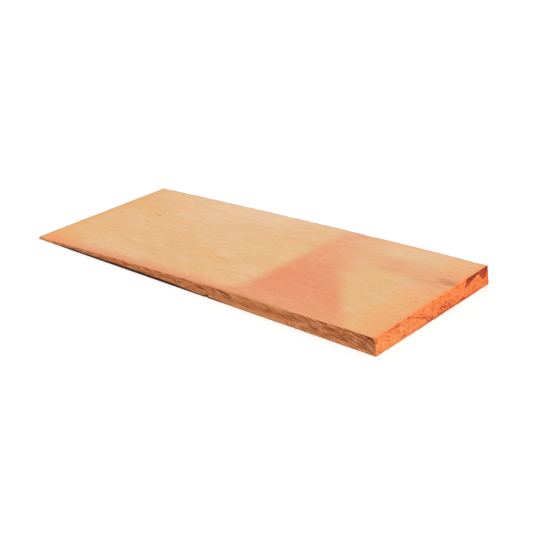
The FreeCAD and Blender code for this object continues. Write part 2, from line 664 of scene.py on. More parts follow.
def rim_fields(fields):
    """The ragged gaps to the rims of the top, and the two rims that are made of two."""
    x, y, z = (fields[axis] for axis in "xyz")
    near_gap, far_gap = y + HALF_WIDTH, HALF_WIDTH - y
    tip_gap = x + HALF_LENGTH
    butt_gap = HALF_LENGTH - z * SIZES["Butt lean"] - x
    gaps = {
        "near_rim": near_gap + swing(fields["streaks"], RIM_STREAKS),
        "near_arris": near_gap,
        "far_rim": far_gap,
        "tip_rim": tip_gap,
        "tip_corner": y,
        "butt_rim": butt_gap,
        "butt_arris": butt_gap,
    }
    rims = {name: gap + swing(fields["speckle"], RIM_SPECKLE[name]) for name, gap in gaps.items()}
    rims["back_arris"] = far_gap.at_most(tip_gap)
    rims["amber"] = faded(rims["tip_rim"], *AMBER_RIM).at_least(faded(tip_gap, *AMBER_HAZE))
    rims["glow"] = faded(rims["butt_rim"], *BUTT_HAZE) + faded(rims["butt_rim"], *BUTT_GLOW)
    return rims


print(len(RIM_SPECKLE), "ragged rims")

# %% [markdown]
# Now the top's table can be written. Its ground is straw, and the layers go on from the broad clouds to the
# stain, the rims and the arrises. The colours are the wood's own under plain light, so that the lamps alone
# decide how bright it looks.

# %% Write the layers of the top
TOP_STRAW = paint(231, 182, 127)
TOP_TAN = paint(233, 188, 139)
TOP_PALE = paint(237, 203, 168)
TOP_BLUSH = paint(238, 178, 131)
TOP_LINE = paint(172, 118, 80)
TOP_LIGHT = paint(252, 214, 168)
SALMON = paint(234, 144, 104)
ROSE = paint(231, 157, 115)
RIM_PINK = paint(231, 150, 108)
RIM_ORANGE = paint(246, 152, 90)
FAR_RIM = paint(249, 174, 134)
TIP_AMBER = paint(238, 172, 101)
KNOT_BROWN = paint(166, 94, 58)
ARRIS_GREY = paint(180, 172, 160)
ARRIS_BROWN = paint(170, 92, 52)
BROKEN_ORANGE = paint(252, 142, 72)

TOP_PATTERNS = {
    "streaks": ((34, 2.0, 30), 1.3, 4.0),
    "broad": ((80, 34, 60), 6.4, 3.0),
    "blush": ((26, 12, 20), 12.7, 3.0),
    "cloud": ((16, 12, 12), 2.2, 3.0),
    "speckle": ((9, 7, 7), 4.4, 3.0),
    "fibres": ((16, 0.7, 0.7), 9.1, 3.0),
    "nap": ((2.4, 4.0, 60), 7.7),
}
TOP_LAYERS = {
    "tan_clouds": (1.0, TOP_TAN, ("broad", (0.36, 0.64))),
    "pale_middle": (1.0, TOP_PALE, ("pale", AS_IS)),
    "blush": (0.46, TOP_BLUSH, ("blush", (0.52, 0.72))),
    "pale_clouds": (0.36, TOP_PALE, ("blush", (0.46, 0.3))),
    "rosy_band": (0.6, ROSE, ("rosy", AS_IS), ("streaks", (0.0, 0.6))),
    "butt_amber": (0.35, TIP_AMBER, ("x", (165, 205)), ("y", (25, -10))),
    "stain": (1.0, SALMON, ("stain", AS_IS)),
    "near_rim": (0.95, RIM_PINK, ("near_rim", (22.0, 0.0)), ("x", (130, 40))),
    "brown_arris": (0.42, ARRIS_BROWN, ("near_arris", (4.5, 0.5)), ("x", (-60, 60, 85, 125))),
    "far_rim": (0.55, FAR_RIM, ("far_rim", (10.0, 1.0)), ("x", (50, 95))),
    "tip_rim": (1.0, TIP_AMBER, ("amber", AS_IS)),
    "tip_corner": (0.62, RIM_ORANGE, ("tip_rim", (70.0, 8.0)), ("tip_corner", (-62, -92))),
    "butt_rim": (1.0, RIM_ORANGE, ("glow", AS_IS)),
    "broken_arris": (0.95, BROKEN_ORANGE, ("butt_arris", (4.5, 1.5)), ("y", (38, 44, 57, 63))),
    "grey_arris": (0.5, ARRIS_GREY, ("back_arris", (4.5, 0.5))),
}
print(len(TOP_LAYERS), "layers on the top, with", len(TOP_PATTERNS), "noises")

# %% [markdown]
# Two large soft places belong to those layers: the pale middle, which broad clouds push about, and a rosy
# band on the far half that widens towards the butt. Each is a product of ramps along and across the board.

# %% Place the soft colours of the top
PALE_ALONG = (-200, -105, -50, 30)
PALE_ACROSS = (-95, 100)
PALE_DRIFT = 160.0  # how far broad clouds move the pale middle across the board
PALE_STRENGTH = 0.42
FAR_PALE = ((50, 95), 0.28)
ROSY_ALONG, ROSY_ACROSS = (95, 150), (18, 38, 54, 74)
ROSY_END_ALONG, ROSY_END_ACROSS = (155, 200), (-20, 22, 54, 74)
ROSY_END_SHARE = 0.7


def soft_places(fields):
    """The pale middle of the top and its rosy band."""
    x, y = fields["x"], fields["y"]
    drifting = ramp(y + swing(fields["broad"], PALE_DRIFT), *PALE_ACROSS)
    pale = drifting * stretch(x, PALE_ALONG) * PALE_STRENGTH + faded(y, *FAR_PALE)
    band = stretch(x, ROSY_ALONG) * stretch(y, ROSY_ACROSS)
    band_end = stretch(x, ROSY_END_ALONG) * stretch(y, ROSY_END_ACROSS) * ROSY_END_SHARE
    return {"pale": pale, "rosy": band.at_least(band_end)}


print("rosy band from", ROSY_ALONG[0], "mm along to the butt")

# %% [markdown]
# Spots come after the layers. Last come the finest marks, which add up: dark streaks, late wood, pale
# fibres and the nap, the fuzz that a saw leaves. The same rings, fibres and nap make the relief, so its
# ridges follow the painted lines.

# %% Finish the top
# Fine marks: the values between which each pattern shows, and its strength
DARK_MARKS = {"streaks": ((0.52, 0.76), 0.17), "nap": ((0.52, 0.72), 0.07)}
LATE_WOOD_MARKS = ((0.35, 0.65), 0.18)
LIGHT_MARKS = {"streaks": ((0.46, 0.26), 0.18), "fibres": ((0.5, 0.3), 0.13), "nap": ((0.48, 0.28), 0.09)}
TOP_RELIEF = {"lines": 0.05, "fibres": 0.09, "nap": 0.04}
TOP_ROUGHNESS = 0.6


def sawn_top():
    """Finish of the top face."""
    material, place = start_wood("sawn_top")
    fields = dict(zip("xyz", place), **noises(place, TOP_PATTERNS))
    fields.update(soft_places(fields), **rim_fields(fields))
    fields.update(stain=salmon_stain(fields), lines=ring_lines(place))
    colour = lay(TOP_STRAW, TOP_LAYERS, fields)
    for *spot_place, strength in TOP_SPOTS.values():
        colour = tint(brown_spot(place, *spot_place) * strength, colour, KNOT_BROWN)
    late_wood = fields["lines"] * faded(fields["fibres"], *LATE_WOOD_MARKS)
    colour = tint(marks(fields, DARK_MARKS) + late_wood, colour, TOP_LINE)
    colour = tint(marks(fields, LIGHT_MARKS), colour, TOP_LIGHT)
    return close_wood(material, colour, TOP_ROUGHNESS, fields["fibres"], heights(fields, TOP_RELIEF))


top_finish = sawn_top()

# %% [markdown]
# ## End grain
#
# A saw across the fibres leaves thousands of cut tube ends. They drink in light, so cedar's end grain
# is a far deeper orange than its face. It is golden near one corner, redder along its foot, crossed by
# slanting rings and dotted with dark pockets. A noise on the height above the rings gives the mottle its
# slant, which no noise on plain heights would have.

# %% Write the layers of the end grain
END_ORANGE = paint(253, 138, 70)
END_AMBER = paint(254, 160, 96)
END_DEEP = paint(224, 98, 44)
END_LINE = paint(204, 92, 44)
END_SPECK = paint(158, 60, 30)
END_RED = paint(226, 90, 44)
END_GOLD = paint(255, 166, 86)
TORN_RED = paint(186, 70, 40)
# This dark brown is painted shade: under the hollow's lip and along the butt's lowest edge.
PAINTED_SHADE_BROWN = paint(132, 46, 18)

END_PATTERNS = {"broad": ((30, 18, 8), 3.6, 3.0), "pits": ((1.2, 0.8, 0.8), 4.9, 3.0)}
END_MOTTLE = ((8, 5.0, 1.9), 9.4, 4.0)  # its heights are counted from the growth rings
END_LAYERS = {
    "amber_near_half": (1.0, END_AMBER, ("broad", (0.3, 0.56)), ("y", (10, -60)), ("top_gap", (1.0, 9.0))),
    "gold_spot": (0.65, END_GOLD, ("gold", (1.6, 0.3))),
    "deep_mottle": (0.85, END_DEEP, ("mottle", (0.5, 0.66))),
    "pale_mottle": (0.6, END_AMBER, ("mottle", (0.47, 0.34))),
    "below_hollow": (0.6, END_RED, ("y", (58, 70, 84, 94)), ("top_gap", (8.0, 12.0)), ("mottle", (0.4, 0.6))),
    "far_rim": (0.75, TORN_RED, ("far_rim", AS_IS)),
    "rings": (0.22, END_LINE, ("lines", AS_IS)),
    "red_foot": (0.75, END_LINE, ("foot", AS_IS)),
    # Painted contact shadow: the butt darkens along its lowest edge, where it meets the floor.
    "foot_contact_shadow": (0.8, PAINTED_SHADE_BROWN, ("z", (1.3, 0.4)), ("y", (-60, -20, 55, 75))),
    "speck_rims": (0.55, END_RED, ("specks", (0.0, 0.6))),
    "speck_cores": (0.6, END_SPECK, ("specks", (0.35, 1.0))),
}
print(len(END_LAYERS), "layers on the end grain")

# %% [markdown]
# Some of these layers lie in places of their own: the golden spot, the red rim beside the far edge, and the
# red foot. An oval and ramps place them, and the mottle makes the spot and the foot ragged, so that neither
# has a clean outline.

# %% Place the colours of the end grain
GOLD_SPOT = (-79.0, 12.0, 12.0, 6.0)  # how far across and below the top, and half its width and height
GOLD_RAGGED = 2.0
FAR_RIM_GAP, FAR_RIM_DROP = (7.0, 2.0), (10.0, 6.0)  # the wider, upper part of the red far rim
FAR_RIM_CORE = (3.0, 1.0)
FOOT_HEIGHT = (4.2, 0.4)
FOOT_RAGGED = 5.0
FOOT_ACROSS = (-45, -5, 60, 95)
FOOT_LEAST = 0.35


def end_fields(place, fields):
    """What the layers of the end grain follow, beside its noises."""
    y, z = fields["y"], fields["z"]
    mottle, top_gap = fields["mottle"], fields["top_gap"]
    across_butt, below, half_width, half_height = GOLD_SPOT
    gold = oval(y - across_butt, half_width, top_gap - below, half_height) + swing(mottle, GOLD_RAGGED)
    far_gap = HALF_WIDTH - y
    far_rim = ramp(far_gap, *FAR_RIM_GAP) * ramp(top_gap, *FAR_RIM_DROP)
    foot = ramp(z + swing(mottle, FOOT_RAGGED), *FOOT_HEIGHT)
    return {
        "gold": gold,
        "far_rim": far_rim.at_least(ramp(far_gap, *FAR_RIM_CORE)),
        "foot": foot * up_from(FOOT_LEAST, stretch(y, FOOT_ACROSS)),
        "lines": ring_lines(place),
        "specks": end_specks(place),
    }


print("golden spot", 2 * GOLD_SPOT[2], "mm wide")

# %% [markdown]
# The torn hollow has two tones: red-brown wood, and a darker painted shade under the lip, which reaches
# further down in the slit and the flake than in the pocket. How deep a point lies in the hollow is stored in
# the mesh, so the colour follows the carving.

# %% Finish the ends
SHADE_DROP = 4.8  # how far the dark shade under the lip reaches down in the pocket
FLAKE_SHADE_DROP = 3.4  # and how much further in the slit and the flake
SHADE_STEP = (87, 82)  # where it steps from the one to the other, across the butt
SHADE_FADE = 4.0
SHADE_RAGGED = 3.0
TORN_SHOWS = ((0.6, 1.6), 0.92)  # depths between which torn wood shows, and its strength
END_RELIEF = {"pits": 0.25, "lines": -0.1}
END_ROUGHNESS = 0.7


def end_grain():
    """Finish of the butt and of the tip."""
    material, place = start_wood("end_grain")
    x, y, _ = place
    fields = dict(zip("xyz", place), **noises(place, END_PATTERNS))
    fields["mottle"] = noise((x, y, ring_layer(place)), *END_MOTTLE)
    fields["top_gap"] = carved(material, "top_gap")
    fields.update(end_fields(place, fields))
    colour = lay(END_ORANGE, END_LAYERS, fields)
    # Painted shade under the lip darkens the torn red-brown wood nearest the top.
    shade_end = SHADE_DROP + FLAKE_SHADE_DROP * ramp(y, *SHADE_STEP)
    under_lip = fields["top_gap"] + swing(fields["mottle"], SHADE_RAGGED)
    torn = tint(ramp(under_lip, shade_end, shade_end - SHADE_FADE), TORN_RED, PAINTED_SHADE_BROWN)
    colour = tint(faded(carved(material, "end_depth"), *TORN_SHOWS), colour, torn)
    return close_wood(material, colour, END_ROUGHNESS, fields["pits"], heights(fields, END_RELIEF))


end_finish = end_grain()

# %% [markdown]
# ## Split edges
#
# The long edges were split, not sawn, so they are rough: proud patches and fresh breaks are pale, old torn
# bays are dark from age and from painted shade that grows with their depth, and fibre grooves run through
# all of them. One stretch split clean and shows only a seam along its middle. On the tip's half the lowest
# part carries a black painted shadow, and further on only a thin broken line of painted contact shadow is
# dark. A painted shade lies under the top arris in one stretch, and a painted highlight on it near the tip.
# The noises are read along the dipping fibres, so that colour and splinters slant alike.

# %% Write the layers of the split edges
EDGE_ORANGE = paint(241, 143, 82)
EDGE_PALE = paint(250, 176, 118)
EDGE_FRESH_AND_HIGHLIGHT = paint(255, 190, 136)
EDGE_LINE = paint(154, 72, 34)
EDGE_DARK = paint(122, 56, 26)
# The black below is painted shadow, along the lower near edge and under it.
EDGE_SHADOW_BLACK = paint(20, 8, 4)

PAINTED_SHADOW_STRETCH = (-215, -170, 28, 64)  # where the lower near edge is black, along the board
EDGE_PATTERNS = {
    "streaks": ((16, 9, 0.7), 2.8, 3.0),
    "grooves": ((11, 20, 1.4), 6.1, 3.0),
    "broad": ((12, 20, 4.2), 5.2, 3.0),
    "fuzz": ((5, 4, 0.4), 7.1, 3.0),
}
EDGE_LAYERS = {
    "proud_patches": (0.7, EDGE_PALE, ("broad", (0.5, 0.66))),
    "sunken_patches": (0.5, EDGE_LINE, ("broad", (0.48, 0.34))),
    "below_seam": (0.5, EDGE_PALE, ("smooth", AS_IS), ("from_seam", (-0.25, -0.75))),
    "above_seam": (0.6, EDGE_PALE, ("smooth", AS_IS), ("from_seam", (0.45, 1.0)), ("x", (65, 100))),
    "seam": (0.3, EDGE_LINE, ("smooth", AS_IS), ("off_seam", (0.5, 0.0))),
    # Painted shade under the top arris, in one stretch of both edges.
    "shade_under_arris": (0.4, EDGE_LINE, ("top_gap", (2.4, 0.4)), ("x", (56, 64, 74, 92))),
    # Painted highlight along the top arris near the tip.
    "tip_arris_highlight": (0.6, EDGE_FRESH_AND_HIGHLIGHT, ("top_gap", (3.0, 0.5)), ("x", (-110, -180))),
    "lit_grooves": (0.75, EDGE_PALE, ("grooves", (0.48, 0.36)), ("bite", AS_IS)),
    "dark_grooves": (0.56, EDGE_LINE, ("grooves", (0.5, 0.62)), ("bite", AS_IS)),
    "dark_streaks": (0.5, EDGE_LINE, ("streaks", (0.5, 0.64)), ("bite", AS_IS)),
    "pale_foot": (0.3, EDGE_PALE, ("floor_gap", (6.5, 1.0)), ("x", (-30, 40))),
    # Old bays darken with their depth: partly weathered wood, partly painted shade in the recess.
    "old_bays_and_shade": (0.65, EDGE_DARK, ("torn", (0.5, 1.6)), ("old", AS_IS)),
    "fresh_breaks": (1.0, EDGE_FRESH_AND_HIGHLIGHT, ("fresh", AS_IS), ("streaks", (0.8, 0.4))),
    # Painted contact shadow: a thin dark broken line along the lower edge towards the butt.
    "low_contact_shadow": (0.75, EDGE_DARK, ("floor_gap", (1.1, 0.3)), ("broad", (0.42, 0.56)), ("x", (20, 70))),
    # Painted shadow: black along the lower near edge on the tip's half, where the bowed board leaves a shaded
    # gap.
    "painted_shadow": (0.98, EDGE_SHADOW_BLACK, ("shadow_gap", (1.9, 1.2)), ("x", PAINTED_SHADOW_STRETCH), ("y", (0, -1))),
}
print(len(EDGE_LAYERS), "layers on the split edges")

# %% [markdown]
# Many of these layers follow gaps and depths that the mesh remembers, so paint and carving agree. The seam
# lies where the gaps to the floor and to the top are equal, give or take a slow wander. The black painted
# shadow at the foot follows a gap too, and it grows and shrinks along the board.

# %% Place the colours of the split edges
SMOOTH_STRETCH = (54, 66, 118, 136)  # where the edge split clean, along the board
SMOOTH_CALM = 0.6  # how much of the roughness is missing there
SEAM_WANDER = ((45, 20, 6), 4.3)
SEAM_SWING = 0.7  # how far the seam leaves the middle, in shares of half the edge's height
BITE_MORE = 0.35  # how much stronger the grooves are towards the butt
BITE_ALONG = (120, 165)
BAY_RAGGED = 1.2
SHADOW_RAGGED = 0.8
SHADOW_TALLER = ((-160, -80), 0.6)  # where the black part grows taller, and by how much
SHADOW_LOWER = ((-30, 20), 1.1)  # and where it shrinks


def edge_fields(material, place, fields):
    """What the layers of the split edges follow, beside their noises."""
    x = fields["x"]
    streaks = fields["streaks"]
    floor_gap, top_gap = carved(material, "floor_gap"), carved(material, "top_gap")
    fresh = carved(material, "edge_fresh")
    smooth = stretch(x, SMOOTH_STRETCH)
    calm = 1 - smooth * SMOOTH_CALM
    from_middle = (floor_gap - top_gap) / (floor_gap + top_gap)
    from_seam = from_middle + swing(noise(place, *SEAM_WANDER), SEAM_SWING)
    # The painted shadow's upper edge: the gap to the floor, made ragged, and grown or shrunk along the board.
    shadow_gap = floor_gap + swing(streaks, SHADOW_RAGGED) - faded(x, *SHADOW_TALLER) + faded(x, *SHADOW_LOWER)
    return {
        "floor_gap": floor_gap,
        "top_gap": top_gap,
        "smooth": smooth,
        "calm": calm,
        "from_seam": from_seam,
        "off_seam": from_seam.math("ABSOLUTE"),
        "bite": (1 + BITE_MORE * ramp(x, *BITE_ALONG)) * calm,
        "torn": carved(material, "edge_depth") + swing(streaks, BAY_RAGGED),
        "fresh": fresh,
        "old": 1 - fresh,
        "shadow_gap": shadow_gap,
    }


print("split clean from", SMOOTH_STRETCH[0], "to", SMOOTH_STRETCH[-1], "mm along")

# %% [markdown]
# The relief follows the layers' own noises, so its slopes run along the painted streaks. Patches and grooves
# are weaker where the edge split clean, and the thin streaks and the fuzz are the same everywhere.

# %% Finish the split edges
ROUGH_RELIEF = {"broad": 0.8, "grooves": 0.6}
EVEN_RELIEF = {"streaks": 0.3, "fuzz": 0.2}
EDGE_ROUGHNESS = 0.7


def split_edge():
    """Finish of the two long edges."""
    material, place = start_wood("split_edge")
    fields = dict(zip("xyz", place), **noises(along_fibres(place), EDGE_PATTERNS))
    fields.update(edge_fields(material, place, fields))
    colour = lay(EDGE_ORANGE, EDGE_LAYERS, fields)
    relief = heights(fields, ROUGH_RELIEF) * fields["calm"] + heights(fields, EVEN_RELIEF)
    return close_wood(material, colour, EDGE_ROUGHNESS, fields["streaks"], relief)


edge_finish = split_edge()

# %% [markdown]
# ## Underside
#
# Nobody sees the underside on a roof, and it is a plain sawn face: tan like the top, a little browner,
# with the rings and fibres but none of the stains. Only the black painted shadow of the near edge runs on
# under it, so that it doesn't stop short at the arris.

# %% Paint the underside
UNDER_TAN = paint(224, 172, 124)
UNDER_BROWN = paint(206, 146, 98)

UNDER_PATTERNS = {
    "broad": ((120, 38, 60), 8.8),
    "streaks": ((60, 2.2, 30), 4.1),
    "fibres": ((22, 0.5, 0.5), 5.5, 3.0),
}
UNDER_LAYERS = {
    "brown_clouds": (1.0, UNDER_BROWN, ("broad", (0.35, 0.7))),
    "rings": (0.45, TOP_LINE, ("lines", AS_IS), ("streaks", AS_IS)),
    # The painted shadow runs on under the near edge.
    "painted_shadow": (0.95, EDGE_SHADOW_BLACK, ("near_gap", (16.0, 2.0)), ("x", PAINTED_SHADOW_STRETCH)),
}
UNDER_RELIEF = {"lines": 0.05, "fibres": 0.08}
UNDER_ROUGHNESS = 0.65


def sawn_underside():
    """Finish of the face that lies on the floor."""
    material, place = start_wood("sawn_underside")
    fields = dict(zip("xyz", place), **noises(place, UNDER_PATTERNS))
    fields.update(lines=ring_lines(place), near_gap=fields["y"] + HALF_WIDTH)
    colour = lay(UNDER_TAN, UNDER_LAYERS, fields)
    return close_wood(material, colour, UNDER_ROUGHNESS, fields["fibres"], heights(fields, UNDER_RELIEF))


under_finish = sawn_underside()

# %% [markdown]
# ## The board as a rule
#
# The shingle's shape is a rule: a block of constant width whose thickness grows evenly from tip to butt,
# with a slight bow. Geometry Nodes suit a rule well. The tree starts from a unit cube with many rows, and
# one Set Position node sends each of its points to where the rule says. The rows lie closer together at
# the edges and at the butt, where the tearing will need them.

# %% Start the tree and its inputs
ROWS_ALONG = 330
ROWS_ACROSS = 110
ROWS_UP = 26
CROWD_BUTT = 0.35  # how much closer the rows stand at the butt
CROWD_EDGES = 0.5  # how much closer they stand at the edges

board_tree = bpy.data.node_groups.new("shingle_board", "GeometryNodeTree")
for size_name in SIZES:
    board_tree.interface.new_socket(size_name, in_out="INPUT", socket_type="NodeSocketFloat")
board_tree.interface.new_socket("Board", in_out="OUTPUT", socket_type="NodeSocketGeometry")
inputs = board_tree.nodes.new("NodeGroupInput")
size = {name: Formula(board_tree, inputs.outputs[name]) for name in SIZES}

block = board_tree.nodes.new("GeometryNodeMeshCube")
block.inputs["Size"].default_value = (1, 1, 1)
block.inputs["Vertices X"].default_value = ROWS_ALONG
block.inputs["Vertices Y"].default_value = ROWS_ACROSS
block.inputs["Vertices Z"].default_value = ROWS_UP


def parts_of(node_kind):
    """The three parts of the vector that a node of this kind gives, as formulas."""
    node = board_tree.nodes.new(node_kind)
    split = board_tree.nodes.new("ShaderNodeSeparateXYZ")
    board_tree.links.new(node.outputs[0], split.inputs[0])
    return [Formula(board_tree, part) for part in split.outputs]


def crowd(share, strength):
    """Moves evenly spaced shares towards both ends."""
    return share - (share * math.tau).math("SINE") * (strength / math.tau)


even_shares = [part + 0.5 for part in parts_of("GeometryNodeInputPosition")]
even_along, even_across, even_up = even_shares
along = even_along + even_along * (1 - even_along) * CROWD_BUTT
across = crowd(even_across, CROWD_EDGES)
up = crowd(even_up, CROWD_EDGES)
print("rows:", ROWS_ALONG, "along,", ROWS_ACROSS, "across,", ROWS_UP, "up")

# %% [markdown]
# With the three shares along, across and up, the rule itself is short. The butt's thickness changes evenly
# from the near edge to the far one, the thickness grows evenly from tip to butt, and a parabola lifts the
# middle off the floor. The gaps from each point to the board's faces will be needed all the time.

# %% Write the rule of the taper
near_thickness = size["Near butt thickness"]
butt_thickness = near_thickness + (size["Far butt thickness"] - near_thickness) * across
thickness = size["Tip thickness"] + (butt_thickness - size["Tip thickness"]) * along
from_middle = along * 2 - 1
bow = size["Bow rise"] * (1 - from_middle * from_middle)
plain_z = bow + thickness * up
plain_x = (size["Length"] - plain_z * size["Butt lean"]) * along - size["Length"] * 0.5
plain_y = size["Width"] * (across - 0.5)
plain_place = (plain_x, plain_y, plain_z)

below_top = thickness * (1 - up)
above_floor = thickness * up
near_gap = size["Width"] * across
far_gap = size["Width"] * (1 - across)
butt_gap = size["Length"] * (1 - along)
tip_gap = size["Length"] * along
print("rule written in", len(board_tree.nodes), "nodes")

# %% [markdown]
# ## Splintered edges
#
# A froe splits wood along its fibres, and where the fibres dip, long splinters lift off and leave bays.
# Two fields make the ordinary tearing: a fine fibre roughness, and angular shards that each stand at their
# own depth. A Voronoi texture gives such shards, one random number for each cell. Both only take wood
# away, so the board keeps its true outer size.

# %% Tear the long edges
FIBRE_ROUGHNESS = 0.4
FIBRE_SPAN = (14, 40, 0.9)
FIBRE_DETAIL = 3.0
SHARD_DEPTH = 0.95
SHARD_SPAN = (17, 400, 1.5)
TORN_SPAN = (50, 400, 6)  # of the patches where shards have come out
TORN_LIMITS = (0.42, 0.6)
TORN_SEED_STEP = 0.7
TIP_ROUGH = 0.45  # share of the roughness that is left on the tip's half
ROUGHER_ALONG = (-90, 30)
CORNER_ROUGH = 0.3  # and beside the butt
CORNER_GAP = (0, 16)
NEAR_SEED = 11.0
FAR_SEED = 23.0
SHARP_FOOT = (0.0, 2.5)  # heights between which the near edge's roughness grows from nothing
FAR_LIP = (0.3, 4.0)  # drops between which the far edge's roughness grows to its full depth
FAR_LIP_ROUGH = 0.35


def shards(place, span, seed):
    """A random number from 0 to 1 for each of the angular cells that fill the wood."""
    tree = place[0].tree
    node = tree.nodes.new("ShaderNodeTexVoronoi")
    node.inputs["Scale"].default_value = 1.0
    tree.links.new(spot_of(place, span, seed), node.inputs["Vector"])
    split = tree.nodes.new("ShaderNodeSeparateXYZ")
    tree.links.new(node.outputs["Color"], split.inputs[0])
    return Formula(tree, split.outputs[0])


def split_loss(seed):
    """How deep one long edge is torn at each point."""
    slanted = along_fibres(plain_place)
    fine = noise(slanted, FIBRE_SPAN, seed, FIBRE_DETAIL)
    shard = shards(slanted, SHARD_SPAN, seed)
    torn = ramp(noise(slanted, TORN_SPAN, seed + TORN_SEED_STEP), *TORN_LIMITS)
    rough = up_from(TIP_ROUGH, ramp(plain_x, *ROUGHER_ALONG))
    rough = rough * up_from(CORNER_ROUGH, ramp(butt_gap, *CORNER_GAP))
    return (fine * FIBRE_ROUGHNESS + shard * shard * torn * SHARD_DEPTH) * rough


calm = 1 - stretch(plain_x, SMOOTH_STRETCH) * SMOOTH_CALM
near_loss = split_loss(NEAR_SEED) * ramp(above_floor, *SHARP_FOOT) * calm
far_loss = split_loss(FAR_SEED) * up_from(FAR_LIP_ROUGH, ramp(below_top, *FAR_LIP))
print("edges torn up to", FIBRE_ROUGHNESS + SHARD_DEPTH, "mm deep")

# %% [markdown]
# The larger chips stand in the photograph's own places, so they are listed one by one. Each is a long
# pointed bay with its own dip, because a splinter that lifts out follows the fibres there. Old breaks have
# darkened, with painted shade deepening them, and new ones are pale, and the list says which.

# %% Carve the chips of the near edge
# Each chip: where it is along the board and below the top, how many degrees it dips towards the butt, its
# half length and height, its depth, and how fresh the break is, from 0 for an old one to 1 for a new one
NEAR_CHIPS = {
    "tip_notch": (-117.0, 1.4, 8, 3.0, 1.2, 0.7, 0.0),
    "tip_nick": (-91.5, 2.6, -43, 3.6, 0.9, 0.8, 0.0),
    "tip_chip": (-63.0, 1.6, 8, 4.0, 1.3, 0.7, 0.0),
    "nick_shade": (-20.5, 3.6, 60, 4.2, 0.9, 0.9, 0.0),
    "nick": (-18.0, 4.2, 60, 4.4, 0.8, 0.6, 1.0),
    "bottom_nick": (22.5, 9.9, 11, 3.4, 2.0, 1.4, 0.0),
    "pale_scar": (28.5, 5.0, 70, 2.6, 1.2, 0.3, 0.7),
    "flake_face": (39.0, 3.6, 20, 4.8, 1.2, 0.3, 0.9),
    "flake_line": (45.5, 2.5, 12, 14.0, 0.9, 1.5, 0.0),
    "flake_bay": (51.0, 6.3, -8, 8.0, 2.2, 1.0, 0.0),
    "flake_back": (57.0, 2.2, 13, 6.5, 0.9, 0.4, 1.0),
    "long_splinter": (124.0, 2.6, 9, 15.0, 0.8, 0.3, 0.9),
    "low_bay": (129.5, 10.0, 75, 2.8, 1.6, 1.0, 0.0),
    "edge_nick": (131.0, 13.6, 11, 4.0, 1.8, 1.0, 0.8),
    "low_scar": (142.0, 9.2, 8, 5.5, 1.2, 0.4, 0.9),
    "pale_splinter": (160.0, 4.6, 11, 10.0, 0.9, 0.5, 0.9),
    "low_splinter": (169.0, 8.4, 11, 9.0, 0.9, 0.5, 0.7),
    "butt_scar": (203.0, 8.2, 25, 4.5, 1.1, 0.4, 0.7),
    "corner_slit": (218.0, 1.7, 11, 6.5, 0.8, 2.4, 0.0),
}
CHIP_RAGS = ((7, 400, 1.0), 13.0, 3.0)
CHIP_RAGGED = 1.3
CHIP_WALL = 0.8  # how far inside its outline a chip reaches its full depth, as its oval counts

chip_ragged = swing(noise(along_fibres(plain_place), *CHIP_RAGS), CHIP_RAGGED)


def chip(along_board, below, dip, half_length, half_height):
    """A long pointed bay, from 0 outside to 1 in its middle."""
    step_along = plain_x - along_board
    step_down = below_top - below
    cosine, sine = math.cos(math.radians(dip)), math.sin(math.radians(dip))
    with_fibre = (step_along * cosine + step_down * sine) / half_length
    through_fibre = (step_down * cosine - step_along * sine) / half_height
    room = 1 - with_fibre * with_fibre - through_fibre * through_fibre + chip_ragged
    return ramp(room, 0.0, CHIP_WALL)


fresh_breaks = []
for *chip_place, chip_depth, chip_fresh in NEAR_CHIPS.values():
    missing = chip(*chip_place)
    near_loss = near_loss.at_least(missing * chip_depth)
    fresh_breaks.append(missing * chip_fresh)
near_fresh = functools.reduce(Formula.at_least, fresh_breaks)
print(len(NEAR_CHIPS), "chips on the near edge")

# %% [markdown]
# ## Torn butt
#
# The butt was sawn across, which leaves a fuzzy face. Near the far corner the wood was torn out under the
# top edge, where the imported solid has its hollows. Seen close, the tear is one ragged form: a slit under a
# thin lip joins a slanting flake and a larger pocket beside the far edge. Its upper wall is steep and its
# floor slopes out. Sculpting it would be quick, but ramps keep it as a rule that can be moved and measured.

# %% Shape the hollow
TEAR_LIP = 0.35  # wood left between the hollow and the top
TEAR_WALL = 0.9  # how far the hollow's steep walls take to reach their full depth
TEAR_RAGS = ((9, 3.2, 2.2), 6.6, 3.0)
DROP_RAGGED = 0.9
WALL_RAGGED = 1.8

# Gaps are measured from the far edge and drops from the top
SLIT_DROP = 4.3
SLIT_DEPTH = 2.6
FLAKE_END = (47.2, 10.4)  # gap and drop of the flake's lowest point
FLAKE_LEAN = math.tan(math.radians(32))  # of the flake's outer wall
FLAKE_DROP = 6.2  # how much lower than the slit the flake reaches
FLAKE_RISE = (18.0, 48.0)  # gaps between which its floor runs up to the slit
POCKET_DROPS = (4.1, 5.1)  # the pocket's steep side, and its slope below that
POCKET_SIDE = (17.8, 15.6)
POCKET_SLOPE = (16.5, 9.5)
POCKET_RIM = (0.3, 1.7)  # gaps between which the pocket comes out again, beside the far edge
RIM_START = 4.0  # the drop below which that rim grows wider
RIM_LEAN = 0.5
POCKET_EXTRA_DEPTH = 1.0
FLOOR_RUN = (1.3, 2.2)  # how long the floor takes to come out, in the slit and further in the pocket


